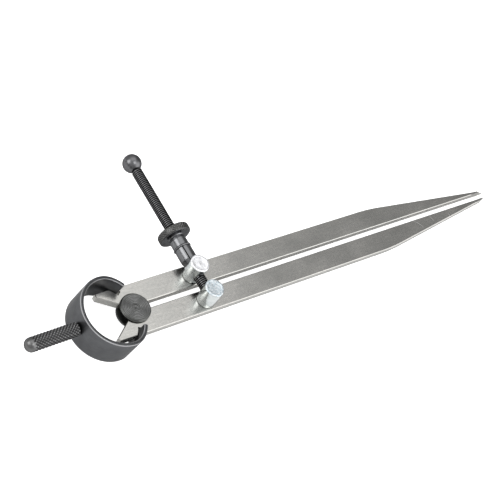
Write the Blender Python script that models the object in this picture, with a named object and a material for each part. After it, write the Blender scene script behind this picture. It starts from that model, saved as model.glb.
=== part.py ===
"""A spring divider: two flat legs roll on a spool, a bow spring opens them and a screw and nut hold them."""

# +X runs along the legs to their points, +Y towards the left leg and +Z out of the front.
# The origin is the centre of the roller's back face. Lengths are in metres and angles in degrees.
from math import asin, atan2, cos, pi, radians, sin, sqrt, tan

import bmesh
import bpy
from mathutils import Vector

# Fits between the pieces
FIT = 0.0003                # gap all round a piece that sits or turns in another
THREAD_FIT = 0.0002         # gap between the screw and the jaws that grip it
SEGMENTS = 36               # sides of a turned piece

# Roller
CORE_R = 0.0034             # the waist that the legs bear on
FLANGE_R = 0.0062
FLANGE_T = 0.0009
RIM_CHAMFER = 0.0002
PIP_R = 0.0006              # lathe centre in the front flange
PIP_DEPTH = 0.0004

# Legs
LEG_T = 0.0034
LEG_W = 0.0090
LEG_GAP = 0.0030            # between the legs' inner edges when the points are together
LEG_CHAMFER = 0.00025
EAR_X = -0.0124             # end of the ear behind the roller
EAR_DEG = 144.2             # the ear's inner edge lies on this line through the roller's axis
POINT_X = 0.2034
POINT_Y = 0.00095
POINT_L = 0.0044            # from the ground shoulder to the tip
SHOULDER_W = 0.0009         # width that is left at the shoulder
TAPER_L = 0.067             # from where the outer edge turns in to the shoulder
TAPER_ROUND_R = 0.100       # soft bend where it turns in
POINT_FLAT = 0.0002         # thickness that is left at the very tip
GRIND_L = 0.0045            # length of the bevels on the front and back of a point

# Bow spring
BOW_W = 0.0128
BOW_T = 0.00153
BOW_CHAMFER = 0.0002
BOW_REAR_A = 0.0152         # half-length of the oval behind its widest place
BOW_FRONT_A = 0.0119        # half-length of the oval in front of it
BOW_HALF_Y = 0.0149
BOW_END_DEG = 145.2         # where the strip ends, counted from the handle
BOW_STEPS = 56
BOW_SEAT_X = -0.0021        # midway between the strip's two ends
BOW_PITCH = 8.3             # how far the bow has sprung out of the legs' plane
BOW_ROLL = 3.8
BOW_YAW = 3.0

# Handle
HANDLE_R = 0.0029
HANDLE_L = 0.0230
HANDLE_TILT = -3.2          # the stud leans a little in the bow
HANDLE_NECK_L = 0.0008
HANDLE_NECK_R = 0.0024
HANDLE_RUNOUT_L = 0.0005    # where the knurl runs out before the dome
HANDLE_DOME_L = 0.0024
HANDLE_KNURL_STEPS = 18
KNURL_DEPTH = 0.00025
STUD_R = 0.0013
STUD_HEAD_R = 0.0018
STUD_HEAD_T = 0.0007

# Pillars
PILLAR_X = 0.03028
PILLAR_Y = 0.00581
PILLAR_R = 0.00394
PILLAR_H = 0.0093           # above the legs' front face
PILLAR_CHAMFER = 0.0004
UNDERCUT_R = 0.0035
UNDERCUT_H = 0.0005
CUP_R = 0.0031              # shallow dish in the top
CUP_DEPTH = 0.0003
SHANK_R = 0.0020
WASHER_R = 0.0035
WASHER_T = 0.0007
PEEN_R = 0.0027
PEEN_H = 0.0008

# Screw and ball
SCREW_R = 0.00195
SCREW_CHAMFER = 0.0003
SCREW_Z = 0.0040            # axis above the legs' front face
SCREW_DEPTH = 0.0022        # how far past its axis the screw goes into the right pillar
BALL_R = 0.00397
BALL_Y = 0.0585
BALL_RINGS = 16
TENON_R = 0.0013            # reduced end of the screw inside the ball

# Nut, as distances along the screw
NOSE_TIP_Y = 0.0086         # the split nose sits in the left pillar's cone
NOSE_TIP_R = 0.0024
NOSE_BASE_Y = 0.0104
NOSE_BASE_R = 0.0034
GROOVE_Y = 0.0159           # ring groove between the jaws and the head
GROOVE_W = 0.0008
BARREL_R = 0.00363
BARREL_END_Y = 0.0202
NUT_NECK_R = 0.0030
COLLAR_Y = 0.0215
COLLAR_END_Y = 0.0247
COLLAR_R = 0.0068
COLLAR_ROUND = 0.0008
COLLAR_KNURL_STEPS = 5
SPIGOT_R = 0.00265          # the jaws' upper ends, tucked into the head
SPIGOT_L = 0.0025
SLIT_W = 0.0004
SLIT_DEG = 25               # the slit's turn from +Z towards the roller
RING_WIRE_R = 0.00034

# Places that follow from the sizes
LEG_BACK = FLANGE_T + FIT
LEG_FRONT = LEG_BACK + LEG_T
LEG_MID = LEG_BACK + LEG_T / 2
ROLLER_H = LEG_FRONT + FIT + FLANGE_T
INNER_Y = LEG_GAP / 2
OUTER_Y = INNER_Y + LEG_W
SHOULDER_X = POINT_X - POINT_L
SHOULDER_Y = INNER_Y + SHOULDER_W
TAPER_X = SHOULDER_X - TAPER_L
CHAMFER_END_X = SHOULDER_X - GRIND_L
SEAT_R = CORE_R + FIT
SCREW_AXIS_Z = LEG_FRONT + SCREW_Z
BORE_R = SCREW_R + FIT
SCREW_END_Y = BALL_Y - sqrt(BALL_R ** 2 - SCREW_R ** 2) - FIT
BOW_END_X = -BOW_FRONT_A * cos(radians(BOW_END_DEG))


def material(name, colour, roughness, metallic):
    """A plain metal finish."""
    finish = bpy.data.materials.new(name)
    finish.use_nodes = True
    shader = finish.node_tree.nodes["Principled BSDF"]
    shader.inputs["Base Color"].default_value = (*colour, 1)
    shader.inputs["Roughness"].default_value = roughness
    shader.inputs["Metallic"].default_value = metallic
    return finish


def add_object(name, bm, finish=None, parent=None):
    """Makes an object of a bmesh. One without a finish is a hidden cutter."""
    bmesh.ops.recalc_face_normals(bm, faces=bm.faces)
    mesh = bpy.data.meshes.new(name)
    bm.to_mesh(mesh)
    bm.free()
    obj = bpy.data.objects.new(name, mesh)
    bpy.context.collection.objects.link(obj)
    obj.parent = parent
    if finish:
        mesh.materials.append(finish)
        mesh.shade_smooth()
        mesh.set_sharp_from_angle(angle=radians(30))
    else:
        obj.hide_render = True
        obj.display_type = "WIRE"
    return obj


def add_empty(name, location, rotation=(0, 0, 0)):
    """A frame that pieces are placed in."""
    empty = bpy.data.objects.new(name, None)
    empty.location = location
    empty.rotation_euler = rotation
    bpy.context.collection.objects.link(empty)
    return empty


def cut(obj, cutter):
    """Takes the cutter's shape out of the object."""
    boolean = obj.modifiers.new(cutter.name, "BOOLEAN")
    boolean.operation = "DIFFERENCE"
    boolean.solver = "EXACT"
    boolean.object = cutter


def ring_of(bm, radius, height, index, knurl):
    """One ring of a turned piece. A knurled ring has every other vertex pushed in."""
    if radius == 0:
        return [bm.verts.new((0, 0, height))] * SEGMENTS
    ring = []
    for step in range(SEGMENTS):
        turn = 2 * pi * step / SEGMENTS
        depth = KNURL_DEPTH if index in knurl and (index + step) % 2 else 0
        ring.append(bm.verts.new(((radius - depth) * cos(turn), (radius - depth) * sin(turn), height)))
    return ring


def turned(outline, bored=False, knurl=()):
    """Turns an outline of (radius, height) points round Z. knurl holds the rings that are cut in diamonds."""
    bm = bmesh.new()
    rings = [ring_of(bm, radius, height, index, knurl) for index, (radius, height) in enumerate(outline)]
    last = len(rings) if bored else len(rings) - 1
    for index in range(last):
        low, high = rings[index], rings[(index + 1) % len(rings)]
        for step in range(SEGMENTS):
            after = (step + 1) % SEGMENTS
            corners = [low[step], low[after], high[after], high[step]]
            if index in knurl and index + 1 in knurl:
                # The groove runs between the two vertices that are pushed in.
                first = (index + step + 1) % 2
                a, b, c, d = corners[first:] + corners[:first]
                bm.faces.new((a, b, c))
                bm.faces.new((a, c, d))
            else:
                bm.faces.new(list(dict.fromkeys(corners)))
    return bm


def plate(outline, low, high):
    """Extrudes a flat outline between two heights."""
    bm = bmesh.new()
    face = bm.faces.new([bm.verts.new((x, y, low)) for x, y in outline])
    extruded = bmesh.ops.extrude_face_region(bm, geom=[face])["geom"]
    top = [part for part in extruded if isinstance(part, bmesh.types.BMVert)]
    bmesh.ops.translate(bm, verts=top, vec=(0, 0, high - low))
    return bm


def taper_corner():
    """The rounded corner where a leg's outer edge turns in, as points from the point's side back."""
    lean = atan2(OUTER_Y - SHOULDER_Y, TAPER_L)
    reach = TAPER_ROUND_R * tan(lean / 2)
    start_x = TAPER_X - reach
    steps = 6
    turns = [lean * (steps - step) / steps for step in range(steps + 1)]
    return [(start_x + TAPER_ROUND_R * sin(turn), OUTER_Y - TAPER_ROUND_R * (1 - cos(turn))) for turn in turns]


def leg_outline():
    """The left leg in plan: ear, half-round seat, inner edge, point and outer edge."""
    seat_start = radians(EAR_DEG)
    seat_end = asin(INNER_Y / SEAT_R)
    steps = 14
    turns = [seat_start + (seat_end - seat_start) * step / steps for step in range(steps + 1)]
    outline = [(EAR_X, EAR_X * tan(seat_start))]
    outline += [(SEAT_R * cos(turn), SEAT_R * sin(turn)) for turn in turns]
    outline += [(CHAMFER_END_X, INNER_Y), (SHOULDER_X, INNER_Y), (POINT_X, POINT_Y)]
    slope = (OUTER_Y - SHOULDER_Y) / TAPER_L
    outline += [(SHOULDER_X, SHOULDER_Y), (CHAMFER_END_X, SHOULDER_Y + GRIND_L * slope)]
    outline += taper_corner()
    outline.append((EAR_X, OUTER_Y))
    return outline


def grind_point(bm, side):
    """Bevels the front (side 1) or the back (side -1) of a leg's point."""
    tip = Vector((POINT_X, 0, LEG_MID + side * POINT_FLAT / 2))
    normal = Vector((LEG_T / 2, 0, side * GRIND_L)).normalized()
    everything = bm.verts[:] + bm.edges[:] + bm.faces[:]
    sliced = bmesh.ops.bisect_plane(bm, geom=everything, plane_co=tip, plane_no=normal, clear_outer=True)
    rim = [part for part in sliced["geom_cut"] if isinstance(part, bmesh.types.BMEdge)]
    bmesh.ops.holes_fill(bm, edges=rim)


def make_leg(name, side, finish, bow_cutter):
    """A leg on the +Y side (side 1) or the -Y side (side -1)."""
    bm = plate(leg_outline(), LEG_BACK, LEG_FRONT)
    long_edges = [
        edge for edge in bm.edges
        if edge.verts[0].co.z == edge.verts[1].co.z
        and max(vert.co.x for vert in edge.verts) < (CHAMFER_END_X + SHOULDER_X) / 2
    ]
    bmesh.ops.bevel(bm, geom=long_edges, offset=LEG_CHAMFER, segments=1, affect="EDGES")
    grind_point(bm, 1)
    grind_point(bm, -1)
    if side < 0:
        bmesh.ops.scale(bm, vec=(1, -1, 1), verts=bm.verts)
    leg = add_object(name, bm, finish)
    hole = turned([(0, 0), (SHANK_R + FIT, 0), (SHANK_R + FIT, 2 * LEG_T), (0, 2 * LEG_T)])
    hole_cutter = add_object(name + "_pillar_hole", hole)
    hole_cutter.location = (PILLAR_X, side * PILLAR_Y, LEG_MID - LEG_T)
    cut(leg, hole_cutter)
    cut(leg, bow_cutter)
    return leg


def make_roller(finish):
    """The spool: two thin flanges on a waist, with a lathe centre in the front."""
    outline = [
        (0, 0),
        (FLANGE_R - RIM_CHAMFER, 0),
        (FLANGE_R, RIM_CHAMFER),
        (FLANGE_R, FLANGE_T - RIM_CHAMFER),
        (FLANGE_R - RIM_CHAMFER, FLANGE_T),
        (CORE_R, FLANGE_T),
        (CORE_R, ROLLER_H - FLANGE_T),
        (FLANGE_R - RIM_CHAMFER, ROLLER_H - FLANGE_T),
        (FLANGE_R, ROLLER_H - FLANGE_T + RIM_CHAMFER),
        (FLANGE_R, ROLLER_H - RIM_CHAMFER),
        (FLANGE_R - RIM_CHAMFER, ROLLER_H),
        (PIP_R, ROLLER_H),
        (0, ROLLER_H - PIP_DEPTH),
    ]
    return add_object("fulcrum_roller", turned(outline), finish)


def bow_strip(grow, overrun):
    """The bent strip round the middle of its ends. grow thickens it and overrun lengthens its ends."""
    bm = bmesh.new()
    end = radians(BOW_END_DEG) + overrun
    rows = []
    for step in range(BOW_STEPS + 1):
        turn = end * (2 * step / BOW_STEPS - 1)
        row = []
        for inset, z in ((-grow, -1), (-grow, 1), (BOW_T + grow, 1), (BOW_T + grow, -1)):
            half_x = BOW_REAR_A if cos(turn) > 0 else BOW_FRONT_A
            x = -(half_x - inset) * cos(turn) - BOW_END_X
            y = (BOW_HALF_Y - inset) * sin(turn)
            row.append(bm.verts.new((x, y, z * (BOW_W / 2 + grow))))
        rows.append(row)
    for near, far in zip(rows, rows[1:]):
        for corner in range(4):
            after = (corner + 1) % 4
            bm.faces.new((near[corner], near[after], far[after], far[corner]))
    bm.faces.new(rows[0])
    bm.faces.new(rows[-1])
    return bm


def make_bow(finish, seat):
    """The bow spring, with a hole for the handle's stud."""
    bow = add_object("bow_spring", bow_strip(0, 0), finish, seat)
    bevel = bow.modifiers.new("edges", "BEVEL")
    bevel.width = BOW_CHAMFER
    bevel.segments = 1
    bevel.limit_method = "ANGLE"
    bevel.angle_limit = radians(60)
    reach = 3 * BOW_T
    hole = turned([(0, -reach), (STUD_R + FIT, -reach), (STUD_R + FIT, reach), (0, reach)])
    cutter = add_object("stud_hole", hole, parent=seat)
    cutter.location = (-BOW_END_X - BOW_REAR_A, 0, 0)
    cutter.rotation_euler = (0, -pi / 2, 0)
    cut(bow, cutter)
    return bow


def make_handle(finish, seat):
    """The knurled handle, whose stud is peened inside the bow."""
    inside = -BOW_T - FIT
    outline = [
        (0, inside - STUD_HEAD_T),
        (STUD_HEAD_R * 0.6, inside - STUD_HEAD_T),
        (STUD_HEAD_R, inside - STUD_HEAD_T / 2),
        (STUD_HEAD_R, inside),
        (STUD_R, inside),
        (STUD_R, FIT),
        (HANDLE_NECK_R, FIT),
        (HANDLE_NECK_R, HANDLE_NECK_L),
        (HANDLE_R - KNURL_DEPTH, HANDLE_NECK_L),
    ]
    first = len(outline)
    dome_start = HANDLE_L - HANDLE_DOME_L
    knurl_start = HANDLE_NECK_L + KNURL_DEPTH
    knurl_end = dome_start - HANDLE_RUNOUT_L
    for step in range(HANDLE_KNURL_STEPS + 1):
        outline.append((HANDLE_R, knurl_start + (knurl_end - knurl_start) * step / HANDLE_KNURL_STEPS))
    knurl = range(first, len(outline))
    plain_r = HANDLE_R - KNURL_DEPTH / 2
    dome_steps = 6
    for step in range(dome_steps):
        turn = pi / 2 * step / dome_steps
        outline.append((plain_r * cos(turn), dome_start + HANDLE_DOME_L * sin(turn)))
    outline.append((0, HANDLE_L))
    handle = add_object("handle", turned(outline, knurl=knurl), finish, seat)
    handle.location = (-BOW_END_X - BOW_REAR_A, 0, 0)
    handle.rotation_euler = (0, radians(HANDLE_TILT) - pi / 2, 0)
    return handle


def make_pillar(name, side, finish):
    """A pillar with its shank through the leg and its end peened over a washer."""
    washer_top = LEG_BACK - FIT - LEG_FRONT
    peen_top = washer_top - WASHER_T - FIT
    outline = [
        (0, peen_top - PEEN_H),
        (PEEN_R * 0.55, peen_top - PEEN_H),
        (PEEN_R * 0.9, peen_top - PEEN_H * 0.6),
        (PEEN_R, peen_top),
        (SHANK_R, peen_top),
        (SHANK_R, FIT),
        (UNDERCUT_R, FIT),
        (UNDERCUT_R, UNDERCUT_H + FIT),
        (PILLAR_R - PILLAR_CHAMFER, UNDERCUT_H + FIT),
        (PILLAR_R, UNDERCUT_H + FIT + PILLAR_CHAMFER),
        (PILLAR_R, PILLAR_H - PILLAR_CHAMFER),
        (PILLAR_R - PILLAR_CHAMFER * 0.3, PILLAR_H - PILLAR_CHAMFER * 0.3),
        (PILLAR_R - PILLAR_CHAMFER, PILLAR_H),
        (CUP_R, PILLAR_H),
        (CUP_R * 0.8, PILLAR_H - CUP_DEPTH * 0.8),
        (0, PILLAR_H - CUP_DEPTH),
    ]
    pillar = add_object(name, turned(outline), finish)
    pillar.location = (PILLAR_X, side * PILLAR_Y, LEG_FRONT)
    return pillar


def make_washer(name, side, finish):
    """The washer under a pillar's peened end."""
    top = LEG_BACK - FIT
    outline = [
        (SHANK_R + FIT, top - WASHER_T),
        (WASHER_R, top - WASHER_T),
        (WASHER_R, top),
        (SHANK_R + FIT, top),
    ]
    washer = add_object(name, turned(outline, bored=True), finish)
    washer.location = (PILLAR_X, side * PILLAR_Y, 0)
    return washer


def nose_radius(y):
    """Radius of the nut's cone at a place along the screw."""
    return NOSE_TIP_R + (y - NOSE_TIP_Y) * (NOSE_BASE_R - NOSE_TIP_R) / (NOSE_BASE_Y - NOSE_TIP_Y)


def drill_pillars(left, right, line):
    """The left pillar's clearance hole and cone, and the right pillar's blind hole."""
    cone_start = NOSE_TIP_Y - FIT
    through = [
        (0, PILLAR_Y - 2 * PILLAR_R),
        (BORE_R, PILLAR_Y - 2 * PILLAR_R),
        (BORE_R, cone_start),
        (nose_radius(cone_start) + 1.5 * FIT, cone_start),
        (nose_radius(NOSE_BASE_Y) + 1.5 * FIT, NOSE_BASE_Y),
        (0, NOSE_BASE_Y),
    ]
    cut(left, add_object("left_pillar_bore", turned(through), parent=line))
    bottom = -PILLAR_Y - SCREW_DEPTH - FIT
    blind = [(0, bottom), (BORE_R, bottom), (BORE_R, 0), (0, 0)]
    cut(right, add_object("right_pillar_bore", turned(blind), parent=line))


def make_screw(finish, line):
    """The screw from inside the right pillar to its tenon in the ball."""
    start = -PILLAR_Y - SCREW_DEPTH
    outline = [
        (0, start),
        (SCREW_R - SCREW_CHAMFER, start),
        (SCREW_R, start + SCREW_CHAMFER),
        (SCREW_R, SCREW_END_Y - SCREW_CHAMFER),
        (SCREW_R - SCREW_CHAMFER, SCREW_END_Y),
        (TENON_R, SCREW_END_Y),
        (TENON_R, BALL_Y),
        (0, BALL_Y),
    ]
    return add_object("adjusting_screw", turned(outline), finish, line)


def make_ball(finish, line):
    """The ball, with a blind hole for the screw's tenon."""
    hole_r = TENON_R + FIT
    hole_top = BALL_Y + FIT
    mouth = -asin(sqrt(BALL_R ** 2 - hole_r ** 2) / BALL_R)
    turns = [mouth + (pi / 2 - mouth) * step / BALL_RINGS for step in range(BALL_RINGS)]
    outline = [(0, hole_top), (hole_r, hole_top)]
    outline += [(BALL_R * cos(turn), BALL_Y + BALL_R * sin(turn)) for turn in turns]
    outline.append((0, BALL_Y + BALL_R))
    return add_object("screw_ball", turned(outline), finish, line)


def make_nut_head(finish, line):
    """The nut's knurled collar, neck and upper barrel, counterbored for the jaws."""
    start = GROOVE_Y + GROOVE_W
    socket_r = SPIGOT_R + FIT
    socket_end = GROOVE_Y + SPIGOT_L + FIT
    outline = [
        (socket_r, start),
        (BARREL_R, start),
        (BARREL_R, BARREL_END_Y - FIT),
        (BARREL_R - FIT, BARREL_END_Y),
        (NUT_NECK_R, BARREL_END_Y),
        (NUT_NECK_R, COLLAR_Y),
        (COLLAR_R - COLLAR_ROUND, COLLAR_Y),
        (COLLAR_R - COLLAR_ROUND * 0.3, COLLAR_Y + COLLAR_ROUND * 0.3),
    ]
    first = len(outline)
    knurl_start = COLLAR_Y + COLLAR_ROUND
    knurl_end = COLLAR_END_Y - COLLAR_ROUND
    for step in range(COLLAR_KNURL_STEPS + 1):
        outline.append((COLLAR_R, knurl_start + (knurl_end - knurl_start) * step / COLLAR_KNURL_STEPS))
    knurl = range(first, len(outline))
    outline += [
        (COLLAR_R - COLLAR_ROUND * 0.3, COLLAR_END_Y - COLLAR_ROUND * 0.3),
        (COLLAR_R - COLLAR_ROUND, COLLAR_END_Y),
        (BORE_R, COLLAR_END_Y),
        (BORE_R, socket_end),
        (socket_r, socket_end),
    ]
    return add_object("nut_head", turned(outline, bored=True, knurl=knurl), finish, line)


def make_jaw(name, side, finish, line):
    """One half of the split nut: nose, barrel and spigot. side is 1 away from the roller and -1 towards it."""
    grip_r = SCREW_R + THREAD_FIT
    outline = [
        (grip_r, NOSE_TIP_Y),
        (NOSE_TIP_R, NOSE_TIP_Y),
        (NOSE_BASE_R, NOSE_BASE_Y),
        (BARREL_R, NOSE_BASE_Y),
        (BARREL_R, GROOVE_Y),
        (SPIGOT_R, GROOVE_Y),
        (SPIGOT_R, GROOVE_Y + SPIGOT_L),
        (grip_r, GROOVE_Y + SPIGOT_L),
    ]
    bm = turned(outline, bored=True)
    # Seen along the screw, local +X is the part's +X and local +Y is the part's -Z.
    slit = radians(SLIT_DEG)
    normal = Vector((cos(slit), -sin(slit), 0)) * side
    everything = bm.verts[:] + bm.edges[:] + bm.faces[:]
    start = normal * SLIT_W / 2
    sliced = bmesh.ops.bisect_plane(bm, geom=everything, plane_co=start, plane_no=-normal, clear_outer=True)
    rim = [part for part in sliced["geom_cut"] if isinstance(part, bmesh.types.BMEdge)]
    bmesh.ops.holes_fill(bm, edges=rim)
    return add_object(name, bm, finish, line)


def make_ring(finish, line):
    """The wire ring that closes the jaws, in the groove between them and the head."""
    centre_r = SPIGOT_R + FIT + RING_WIRE_R
    centre_y = GROOVE_Y + GROOVE_W / 2
    steps = 8
    turns = [2 * pi * step / steps for step in range(steps)]
    outline = [(centre_r - RING_WIRE_R * cos(turn), centre_y - RING_WIRE_R * sin(turn)) for turn in turns]
    return add_object("nut_ring", turned(outline, bored=True), finish, line)


def main():
    for obj in list(bpy.data.objects):
        bpy.data.objects.remove(obj)
    ground = material("ground_steel", (0.52, 0.51, 0.49), 0.35, 1)
    plated = material("zinc_plate", (0.75, 0.77, 0.80), 0.25, 1)
    black = material("black_oxide", (0.035, 0.035, 0.04), 0.4, 0.6)
    seat = add_empty(
        "bow_seat",
        (BOW_SEAT_X, 0, LEG_MID),
        (radians(BOW_ROLL), radians(BOW_PITCH), radians(BOW_YAW)),
    )
    line = add_empty("screw_line", (PILLAR_X, 0, SCREW_AXIS_Z), (-pi / 2, 0, 0))
    make_roller(ground)
    notch = add_object("bow_notches", bow_strip(FIT, FIT / BOW_FRONT_A), parent=seat)
    make_leg("leg_left", 1, ground, notch)
    make_leg("leg_right", -1, ground, notch)
    make_bow(black, seat)
    make_handle(black, seat)
    left = make_pillar("pillar_left", 1, plated)
    right = make_pillar("pillar_right", -1, plated)
    drill_pillars(left, right, line)
    make_washer("pillar_washer_left", 1, plated)
    make_washer("pillar_washer_right", -1, plated)
    make_screw(black, line)
    make_ball(black, line)
    make_nut_head(black, line)
    make_jaw("nut_jaw_near", -1, black, line)
    make_jaw("nut_jaw_far", 1, black, line)
    make_ring(plated, line)


main()
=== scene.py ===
# %% [markdown]
# # Dressing a spring divider
# A spring divider is a machinist's compass: two ground steel legs roll on a spool, a blackened bow spring
# pushes them open, and a fine screw with a split nut holds them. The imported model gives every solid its
# place and size. This lesson gives the surfaces: turned and knurled pieces are modelled again at full
# fineness, and each finish is a small node tree.

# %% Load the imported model
from math import atan2, cos, pi, radians, sin, sqrt

import bmesh
import bpy
from mathutils import Matrix, Vector


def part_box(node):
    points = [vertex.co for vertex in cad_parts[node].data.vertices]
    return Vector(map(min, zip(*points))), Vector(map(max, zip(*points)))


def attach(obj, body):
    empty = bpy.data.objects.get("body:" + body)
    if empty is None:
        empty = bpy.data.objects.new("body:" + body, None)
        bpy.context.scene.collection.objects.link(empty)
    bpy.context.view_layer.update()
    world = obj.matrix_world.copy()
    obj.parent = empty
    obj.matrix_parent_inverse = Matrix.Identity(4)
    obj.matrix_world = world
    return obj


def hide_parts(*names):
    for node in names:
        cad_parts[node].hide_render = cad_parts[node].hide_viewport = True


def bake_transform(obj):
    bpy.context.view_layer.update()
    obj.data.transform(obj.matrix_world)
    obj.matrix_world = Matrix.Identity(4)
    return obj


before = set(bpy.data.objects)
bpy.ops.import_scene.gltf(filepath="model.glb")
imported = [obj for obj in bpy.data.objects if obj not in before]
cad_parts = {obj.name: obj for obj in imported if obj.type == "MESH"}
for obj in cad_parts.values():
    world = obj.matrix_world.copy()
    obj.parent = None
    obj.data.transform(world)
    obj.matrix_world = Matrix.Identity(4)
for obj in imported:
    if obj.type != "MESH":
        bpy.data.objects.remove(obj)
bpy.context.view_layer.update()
MM = 0.001
print("nodes:", sorted(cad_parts))

# %% [markdown]
# ## Sizes that the new pieces share with the solids
# Heights are measured from the roller's back face. The boxes of the solids give most places, so a piece
# lands where its solid is, and the few sizes that a box can't show are named here.

# %% Places read from the solids
LEG_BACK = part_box("leg_left")[0].z
LEG_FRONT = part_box("leg_left")[1].z
LEG_MID = (LEG_BACK + LEG_FRONT) / 2
PILLAR_LOW, PILLAR_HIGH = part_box("pillar_left")
PILLAR_X = (PILLAR_LOW.x + PILLAR_HIGH.x) / 2
PILLAR_Y = (PILLAR_LOW.y + PILLAR_HIGH.y) / 2
PILLAR_R = (PILLAR_HIGH.x - PILLAR_LOW.x) / 2
SCREW_LOW, SCREW_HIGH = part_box("adjusting_screw")
SCREW_Z = (SCREW_LOW.z + SCREW_HIGH.z) / 2
SCREW_R = (SCREW_HIGH.z - SCREW_LOW.z) / 2
CREST_OVER_ROD = 0.32 * MM
THREAD_R = SCREW_R + CREST_OVER_ROD
BALL_LOW, BALL_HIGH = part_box("screw_ball")
BALL_R = (BALL_HIGH.x - BALL_LOW.x) / 2
BALL_Y = BALL_HIGH.y - BALL_R
NUT_LOW, NUT_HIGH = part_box("nut_head")
JAW_LOW, JAW_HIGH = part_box("nut_jaw_near")
ROLLER_LOW, ROLLER_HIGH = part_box("fulcrum_roller")
FIT = 0.3 * MM
print("screw axis height", round(SCREW_Z / MM, 2), "mm, pillar radius", round(PILLAR_R / MM, 2), "mm")

# %% [markdown]
# ## Helpers for working by hand in code
# Operators act on whatever is selected, and the loaded solids start out selected. So every step begins
# by clearing the selection. A turned piece starts as one vertex, is drawn out into half a section by
# extruding, and is spun round Z. It is then set on its axis, and its place is applied to its mesh. What the
# object has twice is made once and copied.


# %% Selection and drawing helpers
def only(obj):
    """Leaves edit mode and selects just this object."""
    if bpy.context.mode != "OBJECT":
        bpy.ops.object.mode_set(mode="OBJECT")
    bpy.ops.object.select_all(action="DESELECT")
    obj.select_set(True)
    bpy.context.view_layer.objects.active = obj


def copied(obj, name):
    """A second object with a mesh of its own."""
    only(obj)
    bpy.ops.object.duplicate(linked=False)
    twin = bpy.context.object
    twin.name = name
    twin.data.name = name
    return twin


def drawn(name, points, closed=False):
    """A line in the XZ plane through (radius, height) points, left in edit mode with all of it selected."""
    if bpy.context.mode != "OBJECT":
        bpy.ops.object.mode_set(mode="OBJECT")
    bpy.ops.object.select_all(action="DESELECT")
    bpy.ops.mesh.primitive_plane_add(size=MM)
    obj = bpy.context.object
    obj.name = name
    obj.data.name = name
    bpy.ops.object.mode_set(mode="EDIT")
    bpy.ops.mesh.select_mode(type="VERT")
    bpy.ops.mesh.select_all(action="SELECT")
    bpy.ops.mesh.merge(type="CENTER")
    place = Vector((0, 0, 0))
    for count, (radius, height) in enumerate(points):
        goal = Vector((radius, 0, height))
        if count == 0:
            bpy.ops.transform.translate(value=goal - place)
        else:
            bpy.ops.mesh.extrude_region_move(TRANSFORM_OT_translate={"value": goal - place})
        place = goal
    if closed:
        bm = bmesh.from_edit_mesh(obj.data)
        bm.verts.ensure_lookup_table()
        bpy.ops.mesh.select_all(action="DESELECT")
        bm.verts[0].select_set(True)
        bm.verts[len(bm.verts) - 1].select_set(True)
        bpy.ops.mesh.edge_face_add()
    bpy.ops.mesh.select_all(action="SELECT")
    return obj


def spun(name, points, sides=96, closed=False):
    """A turned piece: the line is spun a full turn round Z."""
    obj = drawn(name, points, closed)
    bpy.ops.mesh.spin(steps=sides, angle=2 * pi, center=(0, 0, 0), axis=(0, 0, 1))
    bpy.ops.mesh.select_all(action="SELECT")
    bpy.ops.mesh.remove_doubles(threshold=MM / 1000)
    bpy.ops.mesh.normals_make_consistent(inside=False)
    bpy.ops.object.mode_set(mode="OBJECT")
    return obj


def settle(obj, matrix, smooth_deg=35):
    """Puts a finished piece in its place, applies the place to its mesh and shades it."""
    only(obj)
    obj.matrix_world = matrix
    bpy.ops.object.transform_apply(location=True, rotation=True, scale=True)
    bpy.ops.object.shade_smooth_by_angle(angle=radians(smooth_deg))
    return obj


def rounded(corner_r, corner_z, size, sense_r, sense_z, steps=4):
    """Points of a quarter round that starts on the flat end and ends on the side of a turned piece."""
    centre_r = corner_r - sense_r * size
    centre_z = corner_z - sense_z * size
    turns = [pi / 2 * step / steps for step in range(steps + 1)]
    return [(centre_r + sense_r * size * sin(t), centre_z + sense_z * size * cos(t)) for t in turns]


def dress(piece, finish, body, slot, *nodes):
    """Gives a piece its finish, its body and the solids that it stands for."""
    piece.data.materials.clear()
    piece.data.materials.append(finish)
    if body:
        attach(piece, body)
    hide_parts(*nodes)
    print(piece.name, len(piece.data.polygons), "faces")


# %% [markdown]
# ## Frames of the pieces
# The bow leans out of the legs' plane and the handle leans in the bow, so each has a frame of its own. The
# same frames place the pieces and centre their surface patterns, so that turning marks run round the axis
# that the lathe turned about.

# %% Frames of the bow, the handle and the screw
BOW_W = 12.8 * MM
BOW_T = 1.53 * MM
BOW_REAR_A = 15.2 * MM
BOW_FRONT_A = 11.9 * MM
BOW_HALF_Y = 14.9 * MM
BOW_END_DEG = 145.2
BOW_SEAT = (-2.1 * MM, 0, LEG_MID)
BOW_LEAN_DEG = (3.8, 8.3, 3.0)
BOW_END_X = -BOW_FRONT_A * cos(radians(BOW_END_DEG))
HANDLE_TILT_DEG = -3.2


def bow_frame():
    """The bow's own frame, midway between its two ends, as it sits in the notches."""
    place = Matrix.Translation(BOW_SEAT)
    for axis, turn in zip("ZYX", reversed(BOW_LEAN_DEG)):
        place = place @ Matrix.Rotation(radians(turn), 4, axis)
    return place


ON_ROLLER = Matrix.Translation((0, 0, ROLLER_LOW.z))
ON_BOW = bow_frame()
ON_HANDLE = (
    ON_BOW
    @ Matrix.Translation((-BOW_END_X - BOW_REAR_A, 0, 0))
    @ Matrix.Rotation(radians(HANDLE_TILT_DEG) - pi / 2, 4, "Y")
)
ON_SCREW = Matrix.Translation((PILLAR_X, 0, SCREW_Z)) @ Matrix.Rotation(-pi / 2, 4, "X")
print("handle axis", [round(part, 3) for part in ON_HANDLE.col[2].xyz])

# %% [markdown]
# ## Shared surface effects
# Four effects turn up on the metals here, so each is a node group that gives masks and values. Grain is fine
# noise stretched along one axis, as rolling or grinding leaves it. Turning marks are the same noise on the
# distance from an axis and the height along it, so the lines run round. Mottle is cloudy noise for oil,
# handling and uneven plating. Edge wear finds the corners by comparing the true normal with a rounded one,
# because rubbed corners are brighter than the faces beside them.

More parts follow.
